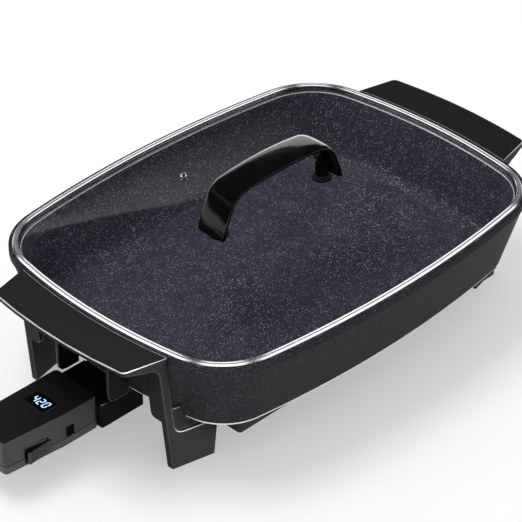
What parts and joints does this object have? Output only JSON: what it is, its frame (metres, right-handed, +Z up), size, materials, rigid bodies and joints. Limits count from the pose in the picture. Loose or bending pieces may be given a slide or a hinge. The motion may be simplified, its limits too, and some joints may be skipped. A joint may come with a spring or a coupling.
{
  "type": "electric skillet",
  "caption": "Rectangular electric frying pan on moulded handle legs, with a lift-off domed glass lid and a plug-in heat control.",
  "frame": {"origin": "under the middle of the overall box, at the height of the feet's undersides", "axes": "+Z up, X along the pan's long side with the heat control at the -X end, Y across the pan"},
  "size_m": [0.55, 0.305, 0.1647],
  "materials": {
    "pan_paint": "dark metallic non-stick paint on cast aluminium",
    "black_phenolic": "matte black phenolic moulding with a fine texture",
    "gloss_phenolic": "polished black phenolic moulding",
    "satin_plastic": "satin black plastic casing",
    "grey_plastic": "matte dark grey plastic",
    "stainless": "polished stainless steel",
    "plain_steel": "zinc-plated steel",
    "dark_sheet": "black-coated pressed steel",
    "element_sheath": "oxidised steel sheath",
    "cast_aluminium": "bare cast aluminium",
    "ceramic": "unglazed off-white ceramic sleeve",
    "clear_glass": "clear tempered glass",
    "silicone": "matte black silicone",
    "board": "green circuit board laminate",
    "brass": "plain brass",
    "display": "glossy dark display window"
  },
  "bodies": {
    "base": {"base_shield": "dark_sheet", "guard_screw_back": "plain_steel", "guard_screw_front": "plain_steel", "handle_left": "black_phenolic", "handle_right": "black_phenolic", "handle_screw_left_back": "plain_steel", "handle_screw_left_front": "plain_steel", "handle_screw_right_back": "plain_steel", "handle_screw_right_front": "plain_steel", "heating_element": "element_sheath", "pan_body": "pan_paint", "sensor_well": "cast_aluminium", "shield_screw_left_back": "plain_steel", "shield_screw_left_front": "plain_steel", "shield_screw_right_back": "plain_steel", "shield_screw_right_front": "plain_steel", "terminal_guard": "black_phenolic", "terminal_insulator_back": "ceramic", "terminal_insulator_front": "ceramic", "terminal_pin_back": "plain_steel", "terminal_pin_front": "plain_steel"},
    "lid": {"lid_glass": "clear_glass", "lid_handle": "gloss_phenolic", "lid_ring": "stainless", "lid_screw_left": "plain_steel", "lid_screw_right": "plain_steel", "lid_washer_left": "plain_steel", "lid_washer_right": "plain_steel", "vent_eyelet": "stainless"},
    "control": {"case_screw_inner": "plain_steel", "case_screw_outer": "plain_steel", "circuit_board": "board", "contact_back": "brass", "contact_front": "brass", "control_bottom": "grey_plastic", "control_top": "satin_plastic", "cord_gland": "silicone", "display_module": "display", "display_window": "display", "plug_block": "black_phenolic", "probe_rod": "plain_steel"},
    "lever": {"release_lever": "grey_plastic"},
    "key": {"set_key": "satin_plastic"}
  },
  "joints": [
    {"name": "lid_lift", "type": "slide", "parent": "base", "child": "lid", "axis": [0, 0, 1], "range_m": [0, 0.13]},
    {"name": "control_pull", "type": "slide", "parent": "base", "child": "control", "axis": [-1, 0, 0], "range_m": [0, 0.13]},
    {"name": "lever_press", "type": "hinge", "parent": "control", "child": "lever", "pos_m": [-0.2335, -0.0212, 0.03], "axis": [0, 0, -1], "range_deg": [0, 6], "stiffness_Nm_per_rad": 0.4},
    {"name": "key_press", "type": "slide", "parent": "control", "child": "key", "axis": [0, 1, 0], "range_m": [0, 0.001], "stiffness_N_per_m": 400}
  ]
}
